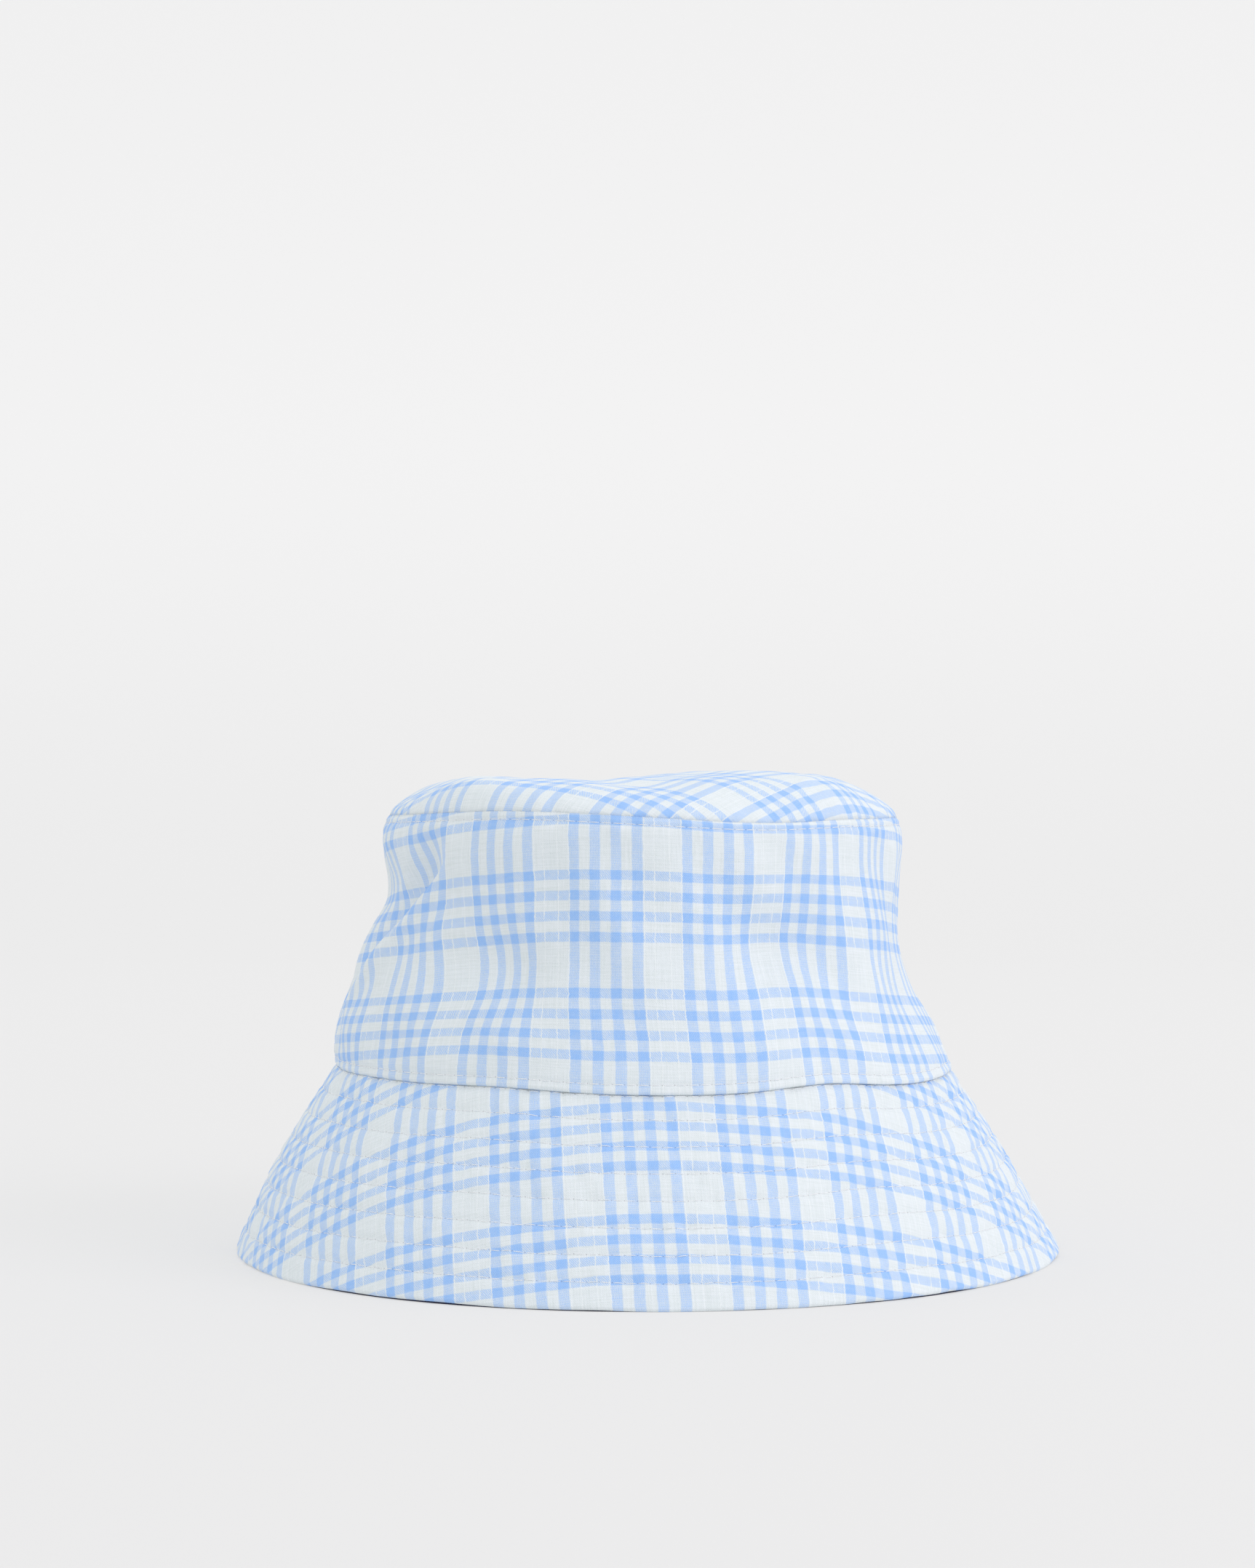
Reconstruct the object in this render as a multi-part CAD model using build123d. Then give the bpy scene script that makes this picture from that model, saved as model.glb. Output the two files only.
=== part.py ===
from build123d import *
import math
import os

# A lined, plaid-covered bucket hat standing on its brim edge. Units are millimetres.
# The origin is on the table under the middle of the hat, +Z is up, the hat's front is at -Y
# and its width runs along X. The hat is oval, so every ring is drawn with its half width
# along X and is then stretched along Y by DEPTH_RATIO.

# ---- driving dimensions ---------------------------------------------------------------
DEPTH_RATIO = 1.07  # front-to-back size over side-to-side size

BRIM_HALF_WIDTH = 120.0  # outer edge of the brim, on the table
HEAD_HALF_WIDTH = 88.5  # crown and brim seam, around the head
BRIM_HEIGHT = 51.5  # height of that seam over the brim edge
HEAD_LEAN = 0.28  # how far the crown side leans in, per mm of rise, at that seam
WAIST_HALF_WIDTH = 77.0  # the crown narrows quickly above the head
WAIST_Z = 90.0
TIP_HALF_WIDTH = 75.5  # seam between the crown side and the tip
TIP_SEAM_Z = 124.5
DOME_SHOULDER_HALF_WIDTH = 48.0  # where the domed tip starts to fall away
DOME_SHOULDER_Z = 135.6
DOME_TOP_Z = 137.0
DOME_RIM_SLOPE = (0.6, -1.0)  # the dome falls steeply into its seam, as (r, z)

CLOTH = 0.8  # face cloth and under-brim cloth
INTERLINING = 0.6
LINING = 0.5
SWEATBAND = 1.0
PLY_GAP = 0.1  # air between sewn plies
LINING_GAP = 1.0  # the lining hangs loosely inside the face cloth

SWEATBAND_HEIGHT = 32.0
THREAD_WIDTH = 0.4
THREAD_HEIGHT = 0.3
THREAD_GAP = 0.04  # between a thread and the cloth it lies on
BRIM_STITCH_ROWS = 8
FIRST_ROW_OFFSET = 1.0  # row 0 runs just under the crown seam
ROW_SPACING = 7.5
BASE_TOPSTITCH_OFFSET = 2.4  # over the crown and brim seam
TIP_TOPSTITCH_OFFSET = 2.0  # under the tip seam
SWEATBAND_STITCH_OFFSET = 1.6

LABEL_WIDTH = 25.0
LABEL_LENGTH = 38.0
LABEL_THICKNESS = 0.4
LABEL_SETBACK = 1.55  # label's middle plane to the lining behind it, so its edges clear the curve
LABEL_PIVOT_Z = 121.4  # the sewn top edge that the label swings about
LABEL_STITCH_LENGTH = 20.0
LABEL_STITCH_DROP = 1.0  # the label's own stitches, under the lining's tip seam

BELOW_TABLE = 1.0  # the brim is drawn this far past the table and then cut level with it
HALVINGS = 40  # steps used to find a height on a curve

# ---- what follows from them -----------------------------------------------------------
BRIM_RUN = BRIM_HALF_WIDTH - HEAD_HALF_WIDTH
BRIM_SLANT = math.hypot(BRIM_RUN, BRIM_HEIGHT)
BRIM_OUTWARD = (BRIM_HEIGHT / BRIM_SLANT, BRIM_RUN / BRIM_SLANT)  # unit normal, as (r, z)
BRIM_DOWN = (BRIM_RUN / BRIM_SLANT, -BRIM_HEIGHT / BRIM_SLANT)  # unit slope, as (r, z)

# Depths of each ply's two faces, measured inwards from the hat's outer face.
BRIM_INTERLINING_IN = CLOTH + PLY_GAP
BRIM_UNDER_IN = BRIM_INTERLINING_IN + INTERLINING + PLY_GAP
BRIM_THICKNESS = BRIM_UNDER_IN + CLOTH
LINING_IN = CLOTH + LINING_GAP
LINING_OUT = LINING_IN + LINING
SWEATBAND_IN = LINING_OUT + PLY_GAP
SWEATBAND_OUT = SWEATBAND_IN + SWEATBAND

# Each half covers this turn about Z: the two side seams lie on the X axis.
FRONT, BACK = 180.0, 0.0


def node(name, *solids):
    """Write one sub-part's STEP file."""
    shape = solids[0] if len(solids) == 1 else Compound(children=list(solids))
    shape.label = name
    export_step(shape, os.path.join("parts", name + ".step"))


def oval(solid):
    """Stretch a round solid front to back, into the hat's oval."""
    return scale(solid, by=(1.0, DEPTH_RATIO, 1.0)).solid()


def ring(section):
    """A whole ring from a closed section in the XZ plane."""
    return oval(revolve(section, Axis.Z, 360.0))


def half_ring(section, start):
    """Half a ring, from one side seam to the other."""
    turned = section.rotate(Axis.Z, start)
    return oval(revolve(turned, Axis.Z, 180.0))


def section_between(edges):
    """A closed section in the XZ plane from edges that meet end to end."""
    return make_face(edges)


def polygon_section(points):
    """A closed section in the XZ plane from its corners, as (r, z)."""
    corners = [(r, 0.0, z) for r, z in points]
    return section_between(Polyline(*corners, close=True).edges())


# ---- crown ----------------------------------------------------------------------------
def side_profile(depth, low, high):
    """The crown side's flared line, moved inwards by depth, from height low to high."""
    whole = Spline(
        (HEAD_HALF_WIDTH - depth, 0.0, BRIM_HEIGHT),
        (WAIST_HALF_WIDTH - depth, 0.0, WAIST_Z),
        (TIP_HALF_WIDTH - depth, 0.0, TIP_SEAM_Z),
        tangents=((-HEAD_LEAN, 0.0, 1.0), (0.0, 0.0, 1.0)),
    )
    start = whole.param_at_point(point_at_height(whole, low))
    end = whole.param_at_point(point_at_height(whole, high))
    return whole.trim(start, end) if (start, end) != (0.0, 1.0) else whole


def point_at_height(curve, z):
    """Where a rising curve passes height z."""
    low, high = 0.0, 1.0
    for _ in range(HALVINGS):
        middle = (low + high) / 2
        if (curve @ middle).Z < z:
            low = middle
        else:
            high = middle
    return curve @ ((low + high) / 2)


def side_section(inner, outer, low, high):
    """A band of the crown side between two depths, with level edges."""
    outside = side_profile(inner, low, high)
    inside = side_profile(outer, low, high)
    bottom = Line(inside @ 0, outside @ 0)
    top = Line(outside @ 1, inside @ 1)
    return section_between([outside, top, inside, bottom])


def dome_section(depth, thickness, rim_z):
    """The domed tip's half section, with its underside on rim_z at the rim."""
    rim = TIP_HALF_WIDTH - depth
    shoulder = DOME_SHOULDER_HALF_WIDTH - depth
    drop = TIP_SEAM_Z - rim_z
    falling = (DOME_RIM_SLOPE[0], 0.0, DOME_RIM_SLOPE[1])
    lines = []
    for lift in (thickness, 0.0):
        middle = (0.0, 0.0, DOME_TOP_Z - CLOTH - drop + lift)
        bend = (shoulder, 0.0, DOME_SHOULDER_Z - CLOTH - drop + lift)
        edge = (rim, 0.0, rim_z + lift)
        lines.append(Spline(middle, bend, edge, tangents=((1.0, 0.0, 0.0), falling)))
    upper, lower = lines
    return section_between([upper, Line(upper @ 1, lower @ 1), lower, Line(lower @ 0, upper @ 0)])


def crown():
    node("crown_tip", ring(dome_section(0.0, CLOTH, TIP_SEAM_Z)))
    section = side_section(0.0, CLOTH, BRIM_HEIGHT, TIP_SEAM_Z)
    node("crown_side_front", half_ring(section, FRONT))
    node("crown_side_back", half_ring(section, BACK))


def lining():
    lining_top = TIP_SEAM_Z - LINING_GAP - LINING
    node("lining_tip", ring(dome_section(LINING_IN, LINING, lining_top)))
    section = side_section(LINING_IN, LINING_OUT, BRIM_HEIGHT, lining_top)
    node("lining_side_front", half_ring(section, FRONT))
    node("lining_side_back", half_ring(section, BACK))


def sweatband():
    top = BRIM_HEIGHT + SWEATBAND_HEIGHT
    node("sweatband", ring(side_section(SWEATBAND_IN, SWEATBAND_OUT, BRIM_HEIGHT, top)))


# ---- brim -----------------------------------------------------------------------------
def brim_section(inner, outer):
    """A ply of the sloping brim between two depths, level at the seam and running past the table."""
    near, far = inner / BRIM_OUTWARD[0], outer / BRIM_OUTWARD[0]
    edge = BRIM_HALF_WIDTH + BELOW_TABLE * BRIM_RUN / BRIM_HEIGHT
    return polygon_section(
        [
            (edge - near, -BELOW_TABLE),
            (HEAD_HALF_WIDTH - near, BRIM_HEIGHT),
            (HEAD_HALF_WIDTH - far, BRIM_HEIGHT),
            (edge - far, -BELOW_TABLE),
        ]
    )


def brim_ply(section, start):
    """Half a ring of the brim with the flat edge that it stands on."""
    return split(half_ring(section, start), bisect_by=Plane.XY, keep=Keep.TOP).solid()


def brim():
    plies = {
        "brim_upper": (0.0, CLOTH),
        "brim_interlining": (BRIM_INTERLINING_IN, BRIM_INTERLINING_IN + INTERLINING),
        "brim_under": (BRIM_UNDER_IN, BRIM_THICKNESS),
    }
    for name, (inner, outer) in plies.items():
        section = brim_section(inner, outer)
        node(name + "_front", brim_ply(section, FRONT))
        node(name + "_back", brim_ply(section, BACK))


# ---- stitching ------------------------------------------------------------------------
def thread_section(point, outward, along, near):
    """A flat thread's section: near is how far its near face is from point, along outward."""
    corners = []
    for side, depth in ((-1, 0.0), (1, 0.0), (1, THREAD_HEIGHT), (-1, THREAD_HEIGHT)):
        lift = near + depth
        slide = side * THREAD_WIDTH / 2
        r = point[0] + outward[0] * lift + along[0] * slide
        z = point[1] + outward[1] * lift + along[1] * slide
        corners.append((r, z))
    return polygon_section(corners)


def brim_stitch_row(row):
    """One row round the brim: the needle thread on top and the bobbin thread underneath."""
    slide = FIRST_ROW_OFFSET if row == 0 else row * ROW_SPACING
    point = (
        HEAD_HALF_WIDTH + BRIM_DOWN[0] * slide,
        BRIM_HEIGHT + BRIM_DOWN[1] * slide,
    )
    needle = thread_section(point, BRIM_OUTWARD, BRIM_DOWN, THREAD_GAP)
    under = -BRIM_THICKNESS - THREAD_GAP - THREAD_HEIGHT
    bobbin = thread_section(point, BRIM_OUTWARD, BRIM_DOWN, under)
    return ring(needle), ring(bobbin)


def side_thread(depth, z):
    """A thread ring on the crown side, its outer face at depth inside the face cloth."""
    profile = side_profile(0.0, BRIM_HEIGHT, TIP_SEAM_Z)
    low = point_at_height(profile, z - THREAD_WIDTH / 2)
    high = point_at_height(profile, z + THREAD_WIDTH / 2)
    outer_low, outer_high = low.X - depth, high.X - depth
    return ring(
        polygon_section(
            [
                (outer_low, low.Z),
                (outer_high, high.Z),
                (outer_high - THREAD_HEIGHT, high.Z),
                (outer_low - THREAD_HEIGHT, low.Z),
            ]
        )
    )


def stitching():
    for row in range(BRIM_STITCH_ROWS):
        node(f"brim_stitch_row_{row}", *brim_stitch_row(row))

    over_face = -THREAD_GAP - THREAD_HEIGHT
    behind_face = CLOTH + THREAD_GAP
    rows = {
        "crown_base_topstitch": BRIM_HEIGHT + BASE_TOPSTITCH_OFFSET,
        "tip_topstitch": TIP_SEAM_Z - TIP_TOPSTITCH_OFFSET,
    }
    for name, z in rows.items():
        node(name, side_thread(over_face, z), side_thread(behind_face, z))

    z = BRIM_HEIGHT + SWEATBAND_STITCH_OFFSET
    over_band = SWEATBAND_OUT + THREAD_GAP
    behind_lining = LINING_IN - THREAD_GAP - THREAD_HEIGHT
    node("sweatband_stitch", side_thread(over_band, z), side_thread(behind_lining, z))


# ---- care label -----------------------------------------------------------------------
def label():
    """A blank folded label that hangs from the lining's tip seam at the centre back."""
    lining_y = (TIP_HALF_WIDTH - LINING_OUT) * DEPTH_RATIO
    middle_y = lining_y - LABEL_SETBACK
    flap = Box(LABEL_WIDTH, LABEL_THICKNESS, LABEL_LENGTH)
    node("care_label", Pos(0.0, middle_y, LABEL_PIVOT_Z - LABEL_LENGTH / 2) * flap)

    bar = Box(LABEL_STITCH_LENGTH, THREAD_WIDTH, THREAD_HEIGHT)
    bar_y = middle_y + LABEL_THICKNESS / 2 + THREAD_GAP + THREAD_WIDTH / 2
    bar_z = TIP_SEAM_Z - LINING_GAP - LINING - LABEL_STITCH_DROP
    node("care_label_stitch", Pos(0.0, bar_y, bar_z) * bar)


os.makedirs("parts", exist_ok=True)
crown()
lining()
sweatband()
brim()
stitching()
label()
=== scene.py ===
import math

import bpy
import numpy as np
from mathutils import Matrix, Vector


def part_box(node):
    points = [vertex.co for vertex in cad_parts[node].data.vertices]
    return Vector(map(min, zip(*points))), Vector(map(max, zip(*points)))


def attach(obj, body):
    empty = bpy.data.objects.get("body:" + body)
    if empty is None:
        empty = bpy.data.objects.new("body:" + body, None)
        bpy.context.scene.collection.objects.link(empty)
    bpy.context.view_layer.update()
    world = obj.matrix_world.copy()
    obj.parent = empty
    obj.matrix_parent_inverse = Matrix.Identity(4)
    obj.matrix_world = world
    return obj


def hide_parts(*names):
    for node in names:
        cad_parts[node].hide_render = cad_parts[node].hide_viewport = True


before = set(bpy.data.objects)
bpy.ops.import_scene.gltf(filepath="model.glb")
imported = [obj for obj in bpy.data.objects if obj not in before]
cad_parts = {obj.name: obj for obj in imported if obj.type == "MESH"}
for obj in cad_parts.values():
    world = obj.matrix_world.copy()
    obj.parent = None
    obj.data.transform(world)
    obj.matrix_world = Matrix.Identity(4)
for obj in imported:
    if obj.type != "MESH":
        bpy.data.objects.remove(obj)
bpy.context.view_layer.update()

# The looks of a lined plaid bucket hat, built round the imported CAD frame. Shapes are worked out
# in millimetres in the frame's own axes: the front is at -Y, +Z is up, and an angle a about Z is
# 0 at the front and 90 degrees at +X. d is the same angle in degrees. Meshes are stored in metres.
#
# The hat's cross sections are ovals. A point of the crown side or the brim is given by its angle a
# and by w, its distance in mm along the cloth: up from the brim seam on the crown side, and down
# from that seam on the brim. A point of the tip is given by a and r, 0 in its middle and 1 at its rim.

MM = 0.001
ROOT = "hat"
FRONT = (-math.pi / 2, math.pi / 2)
BACK = (math.pi / 2, 3 * math.pi / 2)
HALVES = (("front", FRONT, 0.0), ("back", BACK, math.pi))


def millimetres(node):
    """The lowest and highest corners of a CAD node, in mm."""
    low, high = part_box(node)
    return np.array(low) / MM, np.array(high) / MM


# ---- sizes read from the frame: half widths are across X, and DEPTH_RATIO is depth over width ----
brim_low, brim_high = millimetres("brim_upper_front")
side_low, side_high = millimetres("crown_side_front")
tip_top = millimetres("crown_tip")[1][2]
label_low, label_high = millimetres("care_label")
band_low, band_high = millimetres("sweatband")

BRIM_HALF = brim_high[0]
DEPTH_RATIO = -brim_low[1] / BRIM_HALF
HEAD_HALF = side_high[0]
SEAM_Z = side_low[2] + 0.1
TIP_Z = side_high[2]
DOME = tip_top - TIP_Z

OVAL = np.array([1.0, DEPTH_RATIO, 1.0])
CROWN_HEIGHT = TIP_Z - SEAM_Z
BAND_HEIGHT = band_high[2] - band_low[2]

# ---- thicknesses of the cloth pieces ----
CLOTH = 0.55
UNDER_CLOTH = 0.5
INTERLINING = 0.35
LINING = 0.35
SWEATBAND = 0.9
LABEL_CLOTH = 0.12

# ---- how far the inner layers lie behind the outer cloth's face ----
INTERLINING_DEPTH = 0.85
UNDER_DEPTH = 2.1
LINING_DEPTH = 2.6
LINING_TIP_DEPTH = 2.9
BAND_DEPTH = 3.9

# ---- stitching: the length of a stitch, and how its thread lies ----
STITCH = 3.3
STITCH_SHOWS = 0.86
THREAD_RADIUS = 0.12
THREAD_SINK = 0.08
# The crown side's two rows, its half widths there, and a distance out of every stitch's reach.
BASE_STITCH = 2.4
TIP_STITCH = CROWN_HEIGHT - 1.8
BASE_HALF = 89
TOP_HALF = 75.5
NO_STITCH = 9.0

ABOVE_TABLE = 0.03

# ---- the crown's outline, as (height, half width) at the left, right and front ----
LEFT = [
    (50, 89.6), (58, 89.9), (66, 88.8), (76, 85.4), (86, 81.9), (93, 78.7),
    (100, 74.8), (106, 74.3), (112, 75.6), (117, 76.6), (120, 76.3), (124, 74.9),
]
RIGHT = [
    (50, 88.6), (57, 85.3), (66, 80.9), (75, 76.0), (84, 72.8), (96, 71.8),
    (108, 72.2), (117, 72.9), (120, 72.8), (124, 72.0),
]
FACE = [
    (50, 89.6), (60, 87.0), (72, 82.6), (84, 79.2), (96, 77.6),
    (108, 76.8), (117, 76.5), (120, 76.3), (124, 75.3),
]


def bell(x, centre, width):
    """A soft bump: 1 at centre, and 0 a couple of widths away."""
    return np.exp(-(((x - centre) / width) ** 2))


def round_bell(d, centre, width):
    """A bell at centre degrees round the hat, which closes behind it."""
    return bell((d - centre + 180) % 360 - 180, 0, width)


def round_bells(d, *rows):
    """The sum of round bells: each row is (amount, centre, width)."""
    return sum(amount * round_bell(d, centre, width) for amount, centre, width in rows)


def smooth(edge0, edge1, x):
    """0 before edge0 and 1 past edge1, with soft ends."""
    t = np.clip((x - edge0) / (edge1 - edge0), 0.0, 1.0)
    return t * t * (3 - 2 * t)


def outline(knots, z):
    """A smooth curve through (height, half width) knots."""
    zs, hs = np.array(knots, float).T
    slopes = np.gradient(hs, zs)
    i = np.clip(np.searchsorted(zs, z) - 1, 0, len(zs) - 2)
    step = zs[i + 1] - zs[i]
    t = np.clip((z - zs[i]) / step, 0.0, 1.0)
    h00 = 2 * t**3 - 3 * t**2 + 1
    h10 = t**3 - 2 * t**2 + t
    h11 = t**3 - t**2
    start = h00 * hs[i] + h10 * step * slopes[i]
    return start + (1 - h00) * hs[i + 1] + h11 * step * slopes[i + 1]


def wrapped(a):
    """Angle a in -180 to 180 degrees."""
    return np.degrees((a + math.pi) % (2 * math.pi) - math.pi)


def ray(a, out, up):
    """A vector at angle a that goes this far out from the middle, and up."""
    return np.stack([out * np.sin(a), -out * np.cos(a), up + 0 * a], axis=-1)


def ripple(a, w, seed, turns, length, count=24):
    """Soft random waves that close round the hat, from count sines.

    turns is how many waves fit round the hat, and length is their size down it in mm, both as ranges.
    """
    rng = np.random.RandomState(seed)
    total = 0.0
    for _ in range(count):
        m = rng.randint(turns[0], turns[1] + 1)
        k = 2 * math.pi / rng.uniform(*length) * rng.choice([-1, 1])
        total = total + np.sin(m * a + k * w + rng.uniform(0, 2 * math.pi))
    return total / math.sqrt(count / 2)


def seam_z(a):
    """Height of the crown and brim seam."""
    rises = (1.3, -28, 16), (1.7, 32, 12), (-0.5, 60, 14), (1.0, -58, 18), (1.2, -90, 16)
    return SEAM_Z + 0.4 + round_bells(wrapped(a), *rises)


def tip_z(a):
    """Height of the tip seam, which rises at the front left and dips right of the middle."""
    front = (1.1, -30, 22), (-2.0, 26, 24), (-0.7, 60, 14)
    return TIP_Z + round_bells(wrapped(a), *front, (-0.6, -90, 28), (-1.3, 90, 24), (0.4, 150, 30))


# ---- crown side ----
# Dents and bulges: (how far out, its angle, how wide, its height, how tall), in mm and degrees.
FOLDS = [
    (-4.6, -35, 15, 85, 9.5), (-5.4, 27, 13, 89, 11), (3.0, 50, 11, 90, 15), (1.6, -2, 16, 88, 16),
    (2.4, 152, 16, 78, 14), (-3.0, 124, 16, 92, 12), (-3.0, -140, 18, 86, 11), (2.0, -112, 16, 80, 14),
]


def patches(rows, d, z):
    """The sum of soft patches of the crown side: each row is (amount, angle, width, height, tallness)."""
    total = 0.0
    for amount, angle, width, height, tall in rows:
        total = total + amount * round_bell(d, angle, width) * bell(z, height, tall)
    return total


def crown_folds(a, z):
    """How far the slumped crown side stands in or out, in mm."""
    d = wrapped(a)
    # The pinch under the tip at the left: a crease that runs down and round to the side.
    along = (d + 50) / -22.2
    crease_z = 108.3 - 26.2 * along
    gate = smooth(-0.25, 0.3, along) * (1 - smooth(0.85, 1.5, along))
    over = z - crease_z
    recess = -4.4 * smooth(-0.6, 1.4, over) * (1 - smooth(5, 20, over))
    pinch = gate * (recess + 2.2 * bell(over, -3.0, 5.0))
    return patches(FOLDS, d, z) + pinch


def crown_point(a, w, depth=0.0):
    """A point of the crown side, w mm over the brim seam, depth mm inside its face."""
    z0, z1 = seam_z(a), tip_z(a)
    share = w / CROWN_HEIGHT
    z = z0 + share * (TIP_Z - z0) + share**3 * (z1 - TIP_Z)
    side = np.sin(a) ** 2
    profile = np.where(np.sin(a) < 0, outline(LEFT, z), outline(RIGHT, z))
    half = (1 - side) * outline(FACE, z) + side * profile
    # The two seams hold the cloth, so the folds fade out towards them.
    free = smooth(0, 12, w) * (1 - smooth(CROWN_HEIGHT - 9, CROWN_HEIGHT, w))
    half = half + crown_folds(a, z) * free
    half = half + 0.30 * ripple(a, w, 11, (6, 22), (25, 60)) * free
    # Small puckers beside the seams, a groove under each row of stitches, and edges that turn in.
    near_seams = bell(w, BASE_STITCH, 4.0) + bell(w, CROWN_HEIGHT - 2.0, 3.5)
    half = half + 0.13 * near_seams * ripple(a, w, 12, (38, 80), (12, 40))
    half = half - 0.28 * (bell(w, BASE_STITCH, 0.9) + bell(w, TIP_STITCH, 0.8))
    half = half - 0.45 * smooth(CROWN_HEIGHT - 0.9, CROWN_HEIGHT + 0.2, w) - 0.5 * smooth(0.5, -0.2, w)
    return ray(a, half - depth, z) * OVAL


# ---- brim ----
BRIM_SLANT = 59.0
BRIM_MIDDLE = 106
BRIM_ROWS = 8
ROW_SPACING = 7.5
BRIM_EDGE_Z = 1.35
CURL = 0.9
UNDER_END = BRIM_SLANT + 0.7


def row_at(k):
    """How far down the brim its row k of stitches is. Row 0 runs just under the seam."""
    return 0.75 if k == 0 else k * ROW_SPACING


def brim_frame(a, w):
    """The brim's smooth face, its outward normal and its downward slope."""
    z0 = seam_z(a) + 0.3
    base = crown_point(a, np.full_like(a, 1.2))
    half0 = np.hypot(base[..., 0], base[..., 1] / DEPTH_RATIO) - 0.5
    half1 = BRIM_HALF - 2.2 + 0.25 * ripple(a, 0 * a, 21, (2, 5), (900, 999))
    lifted = round_bells(wrapped(a), (0.35, -38, 12), (0.25, -4, 8), (0.32, 29, 10), (0.3, 150, 30))
    edge_z = BRIM_EDGE_Z + lifted + 0.12 * ripple(a, 0 * a, 22, (4, 22), (900, 999))
    share = w / BRIM_SLANT
    side = np.sin(a)
    swell = 1.0 + 0.9 * np.clip(-side, 0, 1) - 0.5 * np.clip(side, 0, 1)
    half = half0 + (half1 - half0) * share + swell * np.sin(math.pi * np.clip(share, 0, 1) ** 1.2)
    half = half + 0.45 * np.sin(math.pi * np.clip(share, 0, 1)) * ripple(a, w, 23, (4, 14), (80, 200))
    z = z0 + (edge_z - z0) * share
    run, fall = half1 - half0, z0 - edge_z
    slant = np.hypot(run, fall)
    normal = ray(a, fall / slant, run / slant)
    slope = ray(a, run / slant, -fall / slant)
    return ray(a, half, z) * OVAL, normal, slope


def quilting(a, w):
    """The sewn channels and the small puckers between them, in mm."""
    lift = 0.0
    for k in range(BRIM_ROWS):
        lift = lift - 0.42 * bell(w, row_at(k), 1.0)
        if k:
            lift = lift + 0.16 * bell(w, row_at(k), 2.6) * ripple(a, w, 30 + k, (60, 130), (9, 30), 16)
    return np.maximum(lift + 0.10 * ripple(a, w, 29, (18, 60), (14, 40)), -0.75)


def brim_point(a, w, depth=0.0):
    """A point of the quilted brim, depth mm behind its face. Inner layers follow the quilting less."""
    point, normal, _ = brim_frame(a, np.minimum(w, BRIM_SLANT))
    lift = quilting(a, np.minimum(w, BRIM_SLANT)) * (1 if depth < 0.5 else 0.45) - depth
    return point + normal * lift[..., None]


def rolled(place, past, slope, normal):
    """place carried past mm round a roll of radius CURL, from slope to -normal, kept over the table."""
    turn = (np.maximum(past, 0.0) / CURL)[..., None]
    place = place + CURL * np.sin(turn) * slope - CURL * (1 - np.cos(turn)) * normal
    place[..., 2] = np.maximum(place[..., 2], ABOVE_TABLE)
    return place


def curled(a, w):
    """The brim's face, which ends in a small roll under its edge."""
    inner = np.minimum(w, BRIM_SLANT)
    point, normal, slope = brim_frame(a, inner)
    return rolled(point + normal * quilting(a, inner)[..., None], w - BRIM_SLANT, slope, normal)


# ---- tip ----
def tip_rim(a):
    """Half width of the tip at its seam, just inside the crown side's top edge."""
    top = crown_point(a, np.full_like(a, CROWN_HEIGHT))
    return np.hypot(top[..., 0], top[..., 1] / DEPTH_RATIO) - 0.1


def tip_point(a, r, depth=0.0):
    """A point of the domed tip: r is 0 in its middle and 1 at its seam."""
    rim = tip_rim(a)
    near = smooth(0.80, 0.98, r)
    reach = rim * r - depth * near
    x, y = reach * np.sin(a), -DEPTH_RATIO * reach * np.cos(a)
    # The dome falls steeply to its seam, most of all where it is puffed up.
    puffed = round_bells(wrapped(a), (1.0, -36, 22), (0.7, 46, 12), (0.5, 150, 40))
    steep = 4 + 1.5 * smooth(-10, -45, x) + 12 * puffed
    fullness = np.clip(1 - r**steep, 0, 1) ** (0.6 + 0.25 * puffed)
    level = DOME + 0.1 - 2.7 * (1 - smooth(-16, 24, x)) - 0.8 * bell(x, 66, 16) + 0.9 * bell(x, -52, 18)
    level = level - 0.8 * bell(x, -27, 13) - 0.9 * bell(x, 35, 14)
    valley = -0.7 * bell(x, 6, 14) * bell(y, -58, 20)
    fold_line = x - (43 + 0.32 * (y + 60))
    fold = (0.9 * bell(fold_line, -3.0, 2.6) - 1.3 * bell(fold_line, 0, 1.3)) * bell(y, -64, 16)
    waves = 0.4 * ripple(a, r * 80, 41, (3, 9), (30, 70)) * smooth(0.25, 0.7, r)
    height = level * fullness + (valley + fold + waves) * (1 - r**10)
    rim_z = TIP_Z + (tip_z(a) - TIP_Z) * smooth(0.80, 1.0, r)
    z = rim_z + height + 0.1 + 0.10 * ripple(a, r * 80, 42, (38, 80), (10, 30)) * bell(r, 0.975, 0.04)
    return np.stack([x, y, z - depth * (1 - 0.55 * near)], axis=-1)


# ---- arc length round the oval ----
TURN = np.linspace(-math.pi, 3 * math.pi, 8001)
STEPS = np.hypot(np.diff(np.sin(TURN)), DEPTH_RATIO * np.diff(np.cos(TURN)))
ARC = np.concatenate([[0], np.cumsum(STEPS)])
ARC -= np.interp(0.0, TURN, ARC)
ROUND = np.interp(2 * math.pi, TURN, ARC)


def arc_of(a):
    """Arc length from the front to angle a, on an oval of half width 1."""
    return np.interp(a, TURN, ARC)


def angle_at(arc):
    """The angle at an arc length from the front, on an oval of half width 1."""
    return np.interp(arc, ARC, TURN)


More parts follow.
